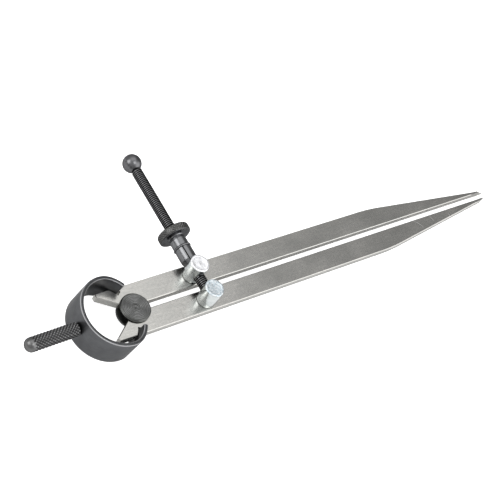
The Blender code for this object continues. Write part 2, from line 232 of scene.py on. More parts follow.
# %% Node helpers
FLOAT = "NodeSocketFloat"
VECTOR = "NodeSocketVector"


def node(tree, kind, **values):
    """A shader node with its properties set."""
    made = tree.nodes.new(kind)
    for key, value in values.items():
        setattr(made, key, value)
    return made


def new_group(name, inputs, outputs):
    """An empty node group with number or vector sockets."""
    tree = bpy.data.node_groups.new(name, "ShaderNodeTree")
    for label, kind, default in inputs:
        socket = tree.interface.new_socket(name=label, in_out="INPUT", socket_type=kind)
        socket.default_value = default
    for label, kind in outputs:
        tree.interface.new_socket(name=label, in_out="OUTPUT", socket_type=kind)
    return tree, tree.nodes.new("NodeGroupInput"), tree.nodes.new("NodeGroupOutput")


def worked(tree, operation, *values, clamp=False):
    """A number from a Math node. Each value is a number or a socket."""
    made = node(tree, "ShaderNodeMath", operation=operation, use_clamp=clamp)
    for socket, value in zip(made.inputs, values):
        if isinstance(value, (int, float)):
            socket.default_value = value
        else:
            tree.links.new(value, socket)
    return made.outputs[0]


def compared(tree, operation, vector, other=None):
    """The outputs of a Vector Math node. The other vector is a place, a socket or nothing."""
    made = node(tree, "ShaderNodeVectorMath", operation=operation)
    tree.links.new(vector, made.inputs[0])
    if isinstance(other, (tuple, Vector)):
        made.inputs[1].default_value = other
    elif other is not None:
        tree.links.new(other, made.inputs[1])
    return made.outputs


def split(tree, vector):
    """The three parts of a vector."""
    parts = node(tree, "ShaderNodeSeparateXYZ")
    tree.links.new(vector, parts.inputs[0])
    return parts.outputs


def contrast(tree, value, strength):
    """Spreads a noise value round 0.5 and keeps it between 0 and 1."""
    return worked(tree, "MULTIPLY_ADD", worked(tree, "SUBTRACT", value, 0.5), strength, 0.5, clamp=True)


# %% Grain and turning marks groups
LINE_INPUTS = [
    ("Vector", VECTOR, (0, 0, 0)),
    ("Stretch", VECTOR, (300, 4000, 4000)),
    ("Contrast", FLOAT, 2.0),
]
LINE_DETAIL = 3


def fine_lines(tree, start, place):
    """Noise on coordinates that are stretched by the group's Stretch vector."""
    noise = node(tree, "ShaderNodeTexNoise")
    noise.inputs["Scale"].default_value = 1
    noise.inputs["Detail"].default_value = LINE_DETAIL
    stretched = compared(tree, "MULTIPLY", place, start.outputs["Stretch"])[0]
    tree.links.new(stretched, noise.inputs["Vector"])
    return contrast(tree, noise.outputs["Fac"], start.outputs["Contrast"])


def make_grain():
    """Fine straight lines."""
    tree, start, end = new_group("grain", LINE_INPUTS, [("Lines", FLOAT)])
    tree.links.new(fine_lines(tree, start, start.outputs["Vector"]), end.inputs["Lines"])
    return tree


def make_turned():
    """Fine lines that run round the Z axis, and the distance from that axis."""
    tree, start, end = new_group("turning_marks", LINE_INPUTS, [("Lines", FLOAT), ("Radius", FLOAT)])
    parts = split(tree, start.outputs["Vector"])
    flat = node(tree, "ShaderNodeCombineXYZ")
    tree.links.new(parts["X"], flat.inputs["X"])
    tree.links.new(parts["Y"], flat.inputs["Y"])
    radius = compared(tree, "LENGTH", flat.outputs[0])["Value"]
    turned = node(tree, "ShaderNodeCombineXYZ")
    tree.links.new(radius, turned.inputs["X"])
    tree.links.new(parts["Z"], turned.inputs["Z"])
    tree.links.new(fine_lines(tree, start, turned.outputs[0]), end.inputs["Lines"])
    tree.links.new(radius, end.inputs["Radius"])
    return tree


GRAIN = make_grain()
TURNED = make_turned()
print("groups:", GRAIN.name, TURNED.name)


# %% Mottle group
def make_mottle():
    """Cloudy patches from 0 to 1, with a chosen size and contrast."""
    inputs = [("Vector", VECTOR, (0, 0, 0)), ("Scale", FLOAT, 200.0)]
    inputs += [("Contrast", FLOAT, 2.0), ("Detail", FLOAT, 4.0)]
    tree, start, end = new_group("mottle", inputs, [("Patches", FLOAT)])
    noise = node(tree, "ShaderNodeTexNoise")
    for label in ("Vector", "Scale", "Detail"):
        tree.links.new(start.outputs[label], noise.inputs[label])
    tree.links.new(contrast(tree, noise.outputs["Fac"], start.outputs["Contrast"]), end.inputs["Patches"])
    return tree


MOTTLE = make_mottle()
print("group:", MOTTLE.name)


# %% Edge wear group
def make_edge_wear():
    """A mask that is 1 on rubbed corners. Reach is how far the wear goes from a corner."""
    inputs = [("Vector", VECTOR, (0, 0, 0)), ("Reach", FLOAT, 0.0002)]
    inputs += [("Strength", FLOAT, 3.0), ("Break up", FLOAT, 900.0)]
    tree, start, end = new_group("edge_wear", inputs, [("Wear", FLOAT)])
    rounded_normal = node(tree, "ShaderNodeBevel", samples=4)
    tree.links.new(start.outputs["Reach"], rounded_normal.inputs["Radius"])
    surface = node(tree, "ShaderNodeNewGeometry")
    both = compared(tree, "DOT_PRODUCT", rounded_normal.outputs["Normal"], surface.outputs["Normal"])
    differ = worked(tree, "SUBTRACT", 1, both["Value"], clamp=True)
    raised = worked(tree, "MULTIPLY", differ, start.outputs["Strength"])
    noise = node(tree, "ShaderNodeTexNoise")
    tree.links.new(start.outputs["Vector"], noise.inputs["Vector"])
    tree.links.new(start.outputs["Break up"], noise.inputs["Scale"])
    tree.links.new(worked(tree, "MULTIPLY", raised, noise.outputs["Fac"], clamp=True), end.inputs["Wear"])
    return tree


EDGE_WEAR = make_edge_wear()
print("group:", EDGE_WEAR.name)

# %% [markdown]
# ## Finishes
# All the finishes are metal. A polished or ground metal gets its tone from what it mirrors, so its own
# colour stays close to the real reflectance, and roughness decides how sharp the mirror image is. Black
# oxide mirrors little, even aslant, so its edges stay dark against the white floor.


# %% Finish helpers
def new_finish(name, edge_tint=1.0):
    """A metal with its shader, ready for nodes. A low edge tint keeps it dark where it is seen aslant."""
    finish = bpy.data.materials.new(name)
    finish.use_nodes = True
    shader = finish.node_tree.nodes["Principled BSDF"]
    shader.inputs["Metallic"].default_value = 1
    shader.inputs["Specular Tint"].default_value = (edge_tint, edge_tint, edge_tint, 1)
    return finish, finish.node_tree, shader


def own_place(tree, frame_matrix):
    """Coordinates in a piece's own frame: the Mapping node, set to Texture, undoes the frame."""
    place = node(tree, "ShaderNodeTexCoord")
    undo = node(tree, "ShaderNodeMapping", vector_type="TEXTURE")
    undo.inputs["Location"].default_value = frame_matrix.translation
    undo.inputs["Rotation"].default_value = frame_matrix.to_euler()
    tree.links.new(place.outputs["Object"], undo.inputs["Vector"])
    return undo.outputs[0]


def use(tree, group, vector, **values):
    """Puts a shared group in a material, with this material's own values, and gives its outputs."""
    placed = node(tree, "ShaderNodeGroup", node_tree=group)
    tree.links.new(vector, placed.inputs["Vector"])
    for label, value in values.items():
        placed.inputs[label.replace("_", " ")].default_value = value
    return placed.outputs


def mixed(tree, factor, low, high):
    """A colour that goes from low to high with a factor socket. Each end is a colour or a socket."""
    mix = node(tree, "ShaderNodeMix", data_type="RGBA")
    tree.links.new(factor, mix.inputs["Factor"])
    for label, value in (("A", low), ("B", high)):
        socket = [s for s in mix.inputs if s.name == label and s.type == "RGBA"][0]
        if isinstance(value, tuple):
            socket.default_value = (*value, 1)
        else:
            tree.links.new(value, socket)
    return [s for s in mix.outputs if s.type == "RGBA"][0]


def ranged(tree, factor, low, high, start=0.0, end=1.0):
    """A number that goes from low to high as a socket goes from start to end."""
    scale = node(tree, "ShaderNodeMapRange")
    for label, value in (("From Min", start), ("From Max", end), ("To Min", low), ("To Max", high)):
        scale.inputs[label].default_value = value
    tree.links.new(factor, scale.inputs["Value"])
    return scale.outputs["Result"]


def bumped(tree, shader, height, distance, under=None):
    """Feeds a height socket into the shader's normal, over any bump that is there already."""
    bump = node(tree, "ShaderNodeBump")
    bump.inputs["Distance"].default_value = distance
    tree.links.new(height, bump.inputs["Height"])
    if under is not None:
        tree.links.new(under, bump.inputs["Normal"])
    tree.links.new(bump.outputs["Normal"], shader.inputs["Normal"])
    return bump.outputs["Normal"]


# %% [markdown]
# ## Ground steel
# The legs' faces were ground along their length, so they have fine lines that way, and handling has left
# clouds and specks. Three curved scratches lie on the lower leg, from about three quarters of the way to its
# point. Each is a thin arc round a centre, faded at both ends, which takes a handful of nodes and no picture.

# %% Ground steel for the legs
SCRATCHES = (
    ((0.1462, -0.0092, LEG_FRONT), (0.15339, -0.0034, LEG_FRONT), 0.0040, 0.00010),
    ((0.1570, -0.0052, LEG_FRONT), (0.16279, -0.0036, LEG_FRONT), 0.0020, 0.00009),
    ((0.1690, -0.0040, LEG_FRONT), (0.17380, -0.0043, LEG_FRONT), 0.0012, 0.00007),
)
DULL_STEEL = (0.49, 0.485, 0.46)
CLEAN_STEEL = (0.60, 0.585, 0.555)
LINE_SHADE = (0.40, 0.397, 0.38)
SPECK_SHADE = (0.425, 0.425, 0.41)
RUBBED_STEEL = (0.80, 0.79, 0.77)
SCRATCHED_STEEL = (0.95, 0.95, 0.93)


def scratch(tree, place, centre, middle, reach, width):
    """A mask for one curved scratch: the arc round a centre, as far as it lies within reach of its middle."""
    radius = (Vector(middle) - Vector(centre)).length
    on_arc = worked(tree, "COMPARE", compared(tree, "DISTANCE", place, centre)["Value"], radius, width)
    from_middle = compared(tree, "DISTANCE", place, middle)["Value"]
    return worked(tree, "MULTIPLY", on_arc, ranged(tree, from_middle, 1, 0, reach * 0.4, reach))


def make_ground_steel():
    """Satin steel with fine grinding lines, cloudy handling marks, rubbed corners and a few scratches."""
    finish, tree, shader = new_finish("ground_steel")
    place = node(tree, "ShaderNodeTexCoord").outputs["Object"]
    lines = use(tree, GRAIN, place, Stretch=(260, 3600, 3600), Contrast=2.4)["Lines"]
    clouds = use(tree, MOTTLE, place, Scale=75.0, Contrast=2.6, Detail=6.0)["Patches"]
    specks = use(tree, MOTTLE, place, Scale=900.0, Contrast=3.6, Detail=3.0)["Patches"]
    wear = use(tree, EDGE_WEAR, place, Reach=0.00030, Strength=3.0, Break_up=700.0)["Wear"]
    steel = mixed(tree, clouds, DULL_STEEL, CLEAN_STEEL)
    lined = mixed(tree, ranged(tree, lines, 0.35, 1.0), LINE_SHADE, steel)
    specked = mixed(tree, ranged(tree, specks, 0.0, 0.60), lined, SPECK_SHADE)
    colour = mixed(tree, wear, specked, RUBBED_STEEL)
    for centre, middle, reach, width in SCRATCHES:
        colour = mixed(tree, scratch(tree, place, centre, middle, reach, width), colour, SCRATCHED_STEEL)
    tree.links.new(colour, shader.inputs["Base Color"])
    tree.links.new(ranged(tree, clouds, 0.19, 0.27), shader.inputs["Roughness"])
    under = bumped(tree, shader, lines, 2.5e-6)
    bumped(tree, shader, specks, 2e-6, under)
    return finish


STEEL = make_ground_steel()
print("finish:", STEEL.name, len(STEEL.node_tree.nodes), "nodes")

# %% [markdown]
# ## Black oxide
# The bow, the roller, the screw and the nut are blackened in a hot bath, and handling rubs the black off
# what stands out. On turned pieces the marks run round. The tips of a knurl or thread are found by their
# distance from the axis and are lighter where they are rubbed, and painted shade makes the grooves between
# them nearly black. On the bow's strip the grain runs round the bend, and its edges carry painted highlight
# lines where the chamfers catch the light.

# %% Black oxide on rolled strip and on turned pieces
# Light black for rubbed tips and corners, and for the painted highlight lines along the bow's edges.
RUBBED_AND_HIGHLIGHT_BLACK = (0.40, 0.40, 0.41)
TURNED_GRAIN = (5200, 0, 5200)
TIP_START = 0.70


def shaded(colour, share):
    """The same colour, lighter or darker."""
    return tuple(share * value for value in colour)


def make_black(
    name, frame_matrix, base, roughness, stretch=TURNED_GRAIN, relief=6e-6,
    wear=0.0, reach=1.6e-4, crest=None, rim=None, edge_tint=0.35,
):
    """Blackened steel. crest has the radii of grooves and tips and how far the tips are rubbed; the grooves
    get painted shade. rim has the distance of the painted highlight lines along a strip's edges from its
    middle, and half their width."""
    finish, tree, shader = new_finish(name, edge_tint)
    place = own_place(tree, frame_matrix)
    marks = use(tree, GRAIN if rim else TURNED, place, Stretch=stretch, Contrast=2.2)
    clouds = use(tree, MOTTLE, place, Scale=240.0, Contrast=2.4, Detail=4.0)["Patches"]
    plain = mixed(tree, clouds, base, shaded(base, 1.4))
    colour = mixed(tree, ranged(tree, marks["Lines"], 0.0, 0.3), plain, shaded(base, 1.9))
    if crest:
        low, high, rubbing = crest
        risen = ranged(tree, marks["Radius"], 0, 1, low, high)
        # Painted shade: the colour darkens from the tips down to 0.15 of the black at the groove's root.
        colour = mixed(tree, risen, shaded(base, 0.15), colour)
        colour = mixed(tree, ranged(tree, risen, 0, rubbing, TIP_START, 1.0), colour, RUBBED_AND_HIGHLIGHT_BLACK)
    if rim:
        # Painted highlight: light lines along a strip's edges, where its chamfers catch the light.
        off_middle = worked(tree, "ABSOLUTE", split(tree, place)["Z"])
        colour = mixed(tree, worked(tree, "COMPARE", off_middle, *rim), colour, RUBBED_AND_HIGHLIGHT_BLACK)
    if wear:
        corners = use(tree, EDGE_WEAR, place, Reach=reach, Strength=wear, Break_up=1100.0)["Wear"]
        colour = mixed(tree, corners, colour, RUBBED_AND_HIGHLIGHT_BLACK)
    tree.links.new(colour, shader.inputs["Base Color"])
    tree.links.new(ranged(tree, clouds, roughness - 0.04, roughness + 0.06), shader.inputs["Roughness"])
    bumped(tree, shader, marks["Lines"], relief)
    print("finish:", name, len(tree.nodes), "nodes")
    return finish


# %% [markdown]
# ## Zinc
# The pillars are bright zinc plate over sawn bar. The sides mirror the room softly. On the tops the saw's
# rough marks show through, so only the front end gets a strong bump. The plate came out bright on the left
# pillar and dull and bluish on the right one.

# %% Zinc plate
SIDE_DULL = (0.60, 0.645, 0.645)
SIDE_BRIGHT = (0.76, 0.785, 0.785)
RIGHT_TOP = ((0.44, 0.55, 0.61), (0.86, 0.88, 0.90))
LEFT_TOP = ((0.86, 0.87, 0.90), (0.97, 0.97, 0.98))
RUBBED_ZINC = (0.95, 0.955, 0.96)
TOP_START = PILLAR_HIGH.z - 0.36 * MM


def make_zinc():
    """Bright zinc: pale and faintly blue, with a grainy surface where the bar end was sawn and plated."""
    finish, tree, shader = new_finish("zinc_plate")
    place = node(tree, "ShaderNodeTexCoord").outputs["Object"]
    clouds = use(tree, MOTTLE, place, Scale=420.0, Contrast=2.6, Detail=5.0)["Patches"]
    grit = use(tree, MOTTLE, place, Scale=1700.0, Contrast=2.6, Detail=3.0)["Patches"]
    rim = use(tree, EDGE_WEAR, place, Reach=0.0004, Strength=4.0, Break_up=900.0)["Wear"]
    parts = split(tree, place)
    on_top = worked(tree, "GREATER_THAN", parts["Z"], TOP_START)
    left_side = ranged(tree, parts["Y"], 0, 1, -MM, MM)
    sawn = mixed(tree, left_side, mixed(tree, grit, *RIGHT_TOP), mixed(tree, grit, *LEFT_TOP))
    faces = mixed(tree, on_top, mixed(tree, clouds, SIDE_DULL, SIDE_BRIGHT), sawn)
    tree.links.new(mixed(tree, rim, faces, RUBBED_ZINC), shader.inputs["Base Color"])
    roughness = worked(tree, "MULTIPLY_ADD", on_top, 0.16, ranged(tree, grit, 0.12, 0.26))
    tree.links.new(roughness, shader.inputs["Roughness"])
    bumped(tree, shader, worked(tree, "MULTIPLY", clouds, ranged(tree, on_top, 0.12, 1.0)), 1e-4)
    return finish


ZINC = make_zinc()
print("finish:", ZINC.name, len(ZINC.node_tree.nodes), "nodes")

# %% [markdown]
# ## Legs
# The legs are flat ground bar, and their solids already have the ears, seats, notches, chamfers and ground
# points. So they stay as they are and only take their finish.

# %% Legs keep their solids
for name in ("leg_left", "leg_right"):
    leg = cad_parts[name]
    leg.data.materials.clear()
    leg.data.materials.append(STEEL)
    print(name, "takes", STEEL.name)

# %% [markdown]
# ## Roller
# The spool is turned from bar, so its front shows the lathe's work: shallow rings that a pointed tool cut,
# a burnished ring round the centre and the centre hole itself. These are real grooves in the drawn line.

# %% Roller with lathe rings
FLANGE_R = (ROLLER_HIGH.x - ROLLER_LOW.x) / 2
ROLLER_H = ROLLER_HIGH.z - ROLLER_LOW.z
FLANGE_T = LEG_BACK - ROLLER_LOW.z - FIT
WAIST_R = 3.4 * MM
RIM_ROUND = 0.15 * MM
FRONT_CHAMFER = 0.5 * MM
RING_DEPTH = 0.12 * MM
RING_COUNT = 6
FIRST_RING_R = FLANGE_R - 0.9 * MM
LAST_RING_R = 1.5 * MM
BURNISHED_R = (1.25 * MM, 1.1 * MM, 0.85 * MM, 0.7 * MM)
CENTRE_HOLE_R = 0.5 * MM
CENTRE_HOLE_DEPTH = 0.45 * MM
ROLLER_BLACK = make_black(
    "roller_black", ON_ROLLER, (0.078, 0.08, 0.076), 0.40, (2300, 0, 2300), relief=1e-6, wear=6.0, reach=4e-4
)


def roller_line():
    """Half the spool's section, from the centre of the back to the centre hole in the front."""
    line = [(0, 0)]
    line += rounded(FLANGE_R, 0, RIM_ROUND, 1, -1)
    line += rounded(FLANGE_R, FLANGE_T, RIM_ROUND, 1, 1)[::-1]
    line += [(WAIST_R, FLANGE_T), (WAIST_R, ROLLER_H - FLANGE_T)]
    line += rounded(FLANGE_R, ROLLER_H - FLANGE_T, RIM_ROUND, 1, -1)
    line += [(FLANGE_R, ROLLER_H - FRONT_CHAMFER), (FLANGE_R - FRONT_CHAMFER, ROLLER_H)]
    pitch = (FIRST_RING_R - LAST_RING_R) / RING_COUNT
    for ring in range(RING_COUNT):
        groove_r = FIRST_RING_R - pitch * ring
        line += [(groove_r, ROLLER_H), (groove_r - pitch * 0.30, ROLLER_H - RING_DEPTH)]
        line.append((groove_r - pitch * 0.6, ROLLER_H))
    outer, outer_foot, inner_foot, inner = BURNISHED_R
    deep = ROLLER_H - 2 * RING_DEPTH
    line += [(outer, ROLLER_H), (outer_foot, deep), (inner_foot, deep), (inner, ROLLER_H)]
    line += [(CENTRE_HOLE_R, ROLLER_H), (0, ROLLER_H - CENTRE_HOLE_DEPTH)]
    return line


roller = settle(spun("turned_roller", roller_line(), 120), ON_ROLLER, 25)
dress(roller, ROLLER_BLACK, "head", "roller_steel", "fulcrum_roller")

# %% [markdown]
# ## Bow spring
# The bow is flat spring strip bent round a mandrel. A circle is stretched to the oval, the mouth is cut
# away, the line is extruded to the strip's width, and Solidify and Bevel give its thickness and its dull
# edges. The bow bends when the legs open, so it is split in two halves by a bisect, and the two meet
# behind the handle, where nothing moves. The split runs through the middle of a facet, so that both sides
# are shaded alike.

# %% Bow spring as one strip
BOW_SIDES = 162
BOW_EDGE = 0.34 * MM
# The bow's rim lines are a painted highlight along the strip's chamfered edges.
BOW_RIM = ((BOW_W - BOW_EDGE) / 2, BOW_EDGE * 0.4)
BOW_BLACK = make_black(
    "bow_black", ON_BOW, (0.092, 0.094, 0.098), 0.34, (500, 500, 4200), rim=BOW_RIM, edge_tint=0.7
)


def pick(obj, wanted):
    """Selects just the vertices for which wanted(place) is true."""
    bpy.ops.mesh.select_mode(type="VERT")
    bpy.ops.mesh.select_all(action="DESELECT")
    bm = bmesh.from_edit_mesh(obj.data)
    for vert in bm.verts:
        vert.select_set(wanted(vert.co))
    bm.select_flush_mode()
    bmesh.update_edit_mesh(obj.data)


def bow_strip(name):
    """The whole strip in its own frame, with its thickness and its dull edges."""
    bpy.ops.object.select_all(action="DESELECT")
    bpy.ops.mesh.primitive_circle_add(vertices=BOW_SIDES, radius=1, fill_type="NOTHING")
    obj = bpy.context.object
    obj.name = name
    obj.data.name = name
    bpy.ops.object.mode_set(mode="EDIT")
    end = radians(BOW_END_DEG)
    pick(obj, lambda co: abs(atan2(co.y, -co.x)) > end)
    bpy.ops.mesh.delete(type="VERT")
    pick(obj, lambda co: co.x <= 0)
    bpy.ops.transform.resize(value=(BOW_REAR_A, 1, 1), center_override=(0, 0, 0))
    pick(obj, lambda co: co.x > 0)
    bpy.ops.transform.resize(value=(BOW_FRONT_A, 1, 1), center_override=(0, 0, 0))
    bpy.ops.mesh.select_all(action="SELECT")
    bpy.ops.transform.resize(value=(1, BOW_HALF_Y, 1), center_override=(0, 0, 0))
    bpy.ops.transform.translate(value=(-BOW_END_X, 0, -BOW_W / 2))
    bpy.ops.mesh.extrude_region_move(TRANSFORM_OT_translate={"value": (0, 0, BOW_W)})
    bpy.ops.mesh.select_all(action="SELECT")
    bpy.ops.mesh.normals_make_consistent(inside=False)
    bpy.ops.object.mode_set(mode="OBJECT")
    face = obj.data.polygons[0]
    wall = obj.modifiers.new("wall", "SOLIDIFY")
    wall.thickness = BOW_T
    wall.offset = -1 if face.normal.dot(face.center) > 0 else 1
    wall.use_even_offset = True
    edges = obj.modifiers.new("edges", "BEVEL")
    edges.width = BOW_EDGE
    edges.segments = 2
    edges.limit_method = "ANGLE"
    edges.angle_limit = radians(60)
    for modifier in ("wall", "edges"):
        bpy.ops.object.modifier_apply(modifier=modifier)
    return obj


# %% Split the strip in two halves
strip = bow_strip("bow_half_left")
for half, side, leg_body in ((strip, 1, "left_leg"), (copied(strip, "bow_half_right"), -1, "right_leg")):
    only(half)
    bpy.ops.object.mode_set(mode="EDIT")
    bpy.ops.mesh.select_all(action="SELECT")
    bpy.ops.mesh.bisect(plane_co=(0, 0, 0), plane_no=(0, side, 0), use_fill=True, clear_inner=True)
    bpy.ops.mesh.select_all(action="SELECT")
    bpy.ops.mesh.normals_make_consistent(inside=False)
    settle(half, ON_BOW, 30)
    dress(half, BOW_BLACK, None, "bow_black", "bow_spring")
    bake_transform(half)

# %% [markdown]
# ## Knurled pieces
# A knurl is a net of crossing grooves that leaves rows of small pyramids. On a fine cylinder the grooves
# run along both diagonals of the grid of vertices, and each pyramid is four vertices wide. Vertices in a
# groove are pressed in by the full depth, those on the flanks by half, and the tips stay. Each square is
# then split along its shorter diagonal, which is the one that lies in the groove.


# %% Knurl helper
def knurl(obj, low, step, rings, sides, depth, inner=0.0):
    """Cuts a diamond knurl in the rings of a turned piece that start at low and lie a step apart."""
    only(obj)
    bpy.ops.object.mode_set(mode="EDIT")

    def cell(co):
        ring = round((co.z - low) / step)
        column = round(atan2(co.y, co.x) / (2 * pi / sides))
        inside = co.xy.length > inner and low - step / 4 < co.z < low + (rings + 0.25) * step
        return inside, (ring + column) % 4, (ring - column) % 4

    def in_groove(co):
        inside, rising, falling = cell(co)
        return inside and 0 in (rising, falling)

    def on_flank(co):
        inside, rising, falling = cell(co)
        return inside and rising % 2 == 1

    pick(obj, in_groove)
    bpy.ops.transform.shrink_fatten(value=-depth)
    pick(obj, on_flank)
    bpy.ops.transform.shrink_fatten(value=-depth / 2)
    pick(obj, lambda co: co.xy.length > inner and low - step / 4 < co.z < low + (rings + 0.25) * step)
    bpy.ops.mesh.quads_convert_to_tris(quad_method="SHORTEST_DIAGONAL")
    bpy.ops.object.mode_set(mode="OBJECT")


def band(radius, low, step, rings):
    """Evenly spaced points up the side of a turned piece, for a knurl."""
    return [(radius, low + step * ring) for ring in range(rings + 1)]


# %% Handle
HANDLE_R = 2.9 * MM
HANDLE_L = 23.0 * MM
HANDLE_DEPTH = 0.27 * MM
HANDLE_SIDES = 56
HANDLE_RINGS = 52
DOME_L = 2.5 * MM
KNURL_LOW = 1.0 * MM
KNURL_STEP = (HANDLE_L - DOME_L - 0.5 * MM - KNURL_LOW) / HANDLE_RINGS
HANDLE_CREST = (HANDLE_R - HANDLE_DEPTH, HANDLE_R, 0.8)
KNURL_BLACK = make_black("knurl_black", ON_HANDLE, (0.195, 0.195, 0.197), 0.32, crest=HANDLE_CREST)
DOME_BLACK = make_black("dome_black", ON_HANDLE, (0.13, 0.13, 0.13), 0.34, wear=0.5)


def handle_line():
    """Half the handle's section, from the stud's peened head inside the bow to the dome."""
    head_r = 1.8 * MM
    stud_r = 1.3 * MM
    neck_r = 2.4 * MM
    inside = -BOW_T - FIT
    line = [(0, inside - 0.7 * MM), (head_r * 0.6, inside - 0.68 * MM), (head_r * 0.9, inside - 0.5 * MM)]
    line += [(head_r, inside - 0.2 * MM), (head_r, inside), (stud_r, inside), (stud_r, FIT)]
    line += [(neck_r, FIT), (neck_r, 0.75 * MM), (HANDLE_R - HANDLE_DEPTH, 0.8 * MM)]
    line += band(HANDLE_R, KNURL_LOW, KNURL_STEP, HANDLE_RINGS)
    plain_r = HANDLE_R - HANDLE_DEPTH / 2
    dome_start = HANDLE_L - DOME_L
    steps = 14
    for step in range(steps):
        turn = pi / 2 * step / steps
        line.append((plain_r * cos(turn), dome_start + DOME_L * sin(turn)))
    line.append((0, HANDLE_L))
    return line


handle = spun("knurled_handle", handle_line(), HANDLE_SIDES)
knurl(handle, KNURL_LOW, KNURL_STEP, HANDLE_RINGS, HANDLE_SIDES, HANDLE_DEPTH)
settle(handle, ON_HANDLE, 24)
dress(handle, KNURL_BLACK, "head", "knurled_black", "handle")

# %% A smoother finish for the handle's dome
handle.data.materials.append(DOME_BLACK)
only(handle)
bpy.ops.object.mode_set(mode="EDIT")
to_handle = ON_HANDLE.inverted()
pick(handle, lambda co: (to_handle @ co).z > HANDLE_L - DOME_L - 0.1 * MM)
handle.active_material_index = 1
bpy.ops.object.material_slot_assign()
bpy.ops.object.mode_set(mode="OBJECT")
print("dome faces:", sum(face.material_index == 1 for face in handle.data.polygons))

# %% [markdown]
# ## Pillars
# The pillars are plated bar. Each has a rounded top edge round a shallow sawn dish, an undercut that
# makes the dark line at its foot, and a shank through the leg that is peened over a washer behind. The
# holes for the screw are cut with a Boolean, as a drill would.

# %% Pillars
PILLAR_TOP = PILLAR_HIGH.z - LEG_FRONT
UNDERCUT_R = 3.6 * MM
UNDERCUT_H = 0.25 * MM
SEATED = 0.03 * MM
SHANK_R = 2.0 * MM
WASHER_T = 0.7 * MM
WASHER_R = 3.5 * MM
PEEN_R = 2.7 * MM
PEEN_H = 0.8 * MM
PILLAR_ROUND = 0.45 * MM
FOOT_ROUND = 0.2 * MM
DISH_R = 3.2 * MM
DISH_DEPTH = 0.32 * MM
BORE_R = THREAD_R + 0.1 * MM


def pillar_line():
    """Half a pillar's section, measured from the leg's front face."""
    washer_top = LEG_BACK - FIT - LEG_FRONT
    peen_top = washer_top - WASHER_T - FIT
    line = [(0, peen_top - PEEN_H), (PEEN_R * 0.5, peen_top - PEEN_H * 0.97)]
    line += [(PEEN_R * 0.8, peen_top - PEEN_H * 0.75), (PEEN_R * 0.96, peen_top - PEEN_H * 0.35)]
    line += [(PEEN_R, peen_top), (SHANK_R, peen_top)]
    line += [(SHANK_R, SEATED), (UNDERCUT_R, SEATED), (UNDERCUT_R, UNDERCUT_H)]
    line += rounded(PILLAR_R, UNDERCUT_H, FOOT_ROUND, 1, -1)
    line += rounded(PILLAR_R, PILLAR_TOP, PILLAR_ROUND, 1, 1)[::-1]
    line += [(DISH_R + 0.1 * MM, PILLAR_TOP), (DISH_R - 0.05 * MM, PILLAR_TOP - DISH_DEPTH * 0.7)]
    line += [(DISH_R * 0.7, PILLAR_TOP - DISH_DEPTH), (DISH_R * 0.35, PILLAR_TOP - DISH_DEPTH * 0.9)]
    line.append((0, PILLAR_TOP - DISH_DEPTH * 0.95))
    return line


def drilled(piece, line):
    """Cuts a turned drill shape, drawn along the screw's axis, out of a piece that is in place."""
    drill = settle(spun("drill", line, 64), ON_SCREW)
    only(piece)
    hole = piece.modifiers.new("hole", "BOOLEAN")
    hole.operation = "DIFFERENCE"
    hole.solver = "EXACT"
    hole.object = drill
    bpy.ops.object.modifier_apply(modifier="hole")
    bpy.data.objects.remove(drill)
    bpy.ops.object.shade_smooth_by_angle(angle=radians(35))


NOSE_TIP_Y = JAW_LOW.y
NOSE_TIP_R = 2.6 * MM
NOSE_BASE_Y = 10.4 * MM
NOSE_BASE_R = 3.4 * MM
CONE_FIT = 0.45 * MM
CONE_START = NOSE_TIP_Y - FIT
CONE_SLOPE = (NOSE_BASE_R - NOSE_TIP_R) / (NOSE_BASE_Y - NOSE_TIP_Y)
THROUGH = [
    (0, PILLAR_Y - 2 * PILLAR_R),
    (BORE_R, PILLAR_Y - 2 * PILLAR_R),
    (BORE_R, CONE_START),
    (NOSE_TIP_R - FIT * CONE_SLOPE + CONE_FIT, CONE_START),
    (NOSE_BASE_R + CONE_FIT, NOSE_BASE_Y),
    (0, NOSE_BASE_Y),
]
BLIND_END = SCREW_LOW.y - FIT
BLIND = [(0, BLIND_END), (BORE_R, BLIND_END), (BORE_R, 0), (0, 0)]

first_pillar = spun("plated_pillar_left", pillar_line(), 96)
for pillar, side, drill_line, body in (
    (first_pillar, 1, THROUGH, "left_post"),
    (copied(first_pillar, "plated_pillar_right"), -1, BLIND, "right_post"),
):
    settle(pillar, Matrix.Translation((PILLAR_X, side * PILLAR_Y, LEG_FRONT)))
    drilled(pillar, drill_line)
    dress(pillar, ZINC, body, "zinc_plate", "pillar_left" if side > 0 else "pillar_right")

# %% [markdown]
# ## Washers
# Each leg is held on its pillar by a punched washer under the peened end. The photograph doesn't show the
# back, so these two are a guess at what such a joint needs. Each is a small closed section with rounded
# outer corners, spun round the shank.

# %% Washers
WASHER_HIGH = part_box("pillar_washer_left")[1].z
WASHER_ROUND = 0.15 * MM


def washer_line():
    """A washer's whole section, hole side first."""
    low = WASHER_HIGH - WASHER_T
    line = [(SHANK_R + FIT, low)]
    line += rounded(WASHER_R, low, WASHER_ROUND, 1, -1)
    line += rounded(WASHER_R, WASHER_HIGH, WASHER_ROUND, 1, 1)[::-1]
    line.append((SHANK_R + FIT, WASHER_HIGH))
    return line


first_washer = spun("plated_washer_left", washer_line(), 64, closed=True)
for washer, side, body, solid in (
    (first_washer, 1, "left_post", "pillar_washer_left"),
    (copied(first_washer, "plated_washer_right"), -1, "right_post", "pillar_washer_right"),
):
    settle(washer, Matrix.Translation((PILLAR_X, side * PILLAR_Y, 0)))
    dress(washer, ZINC, body, "zinc_plate", solid)

# %% [markdown]
# ## Screw
# The solid is a plain rod of about the thread's root. The real thread stands over it, with 0.8 mm between
# its turns. Its ridge is a small trapezium that the Screw modifier winds round the core, and the wound tube
# is closed at both ends. Core and ridge are then joined as one piece.

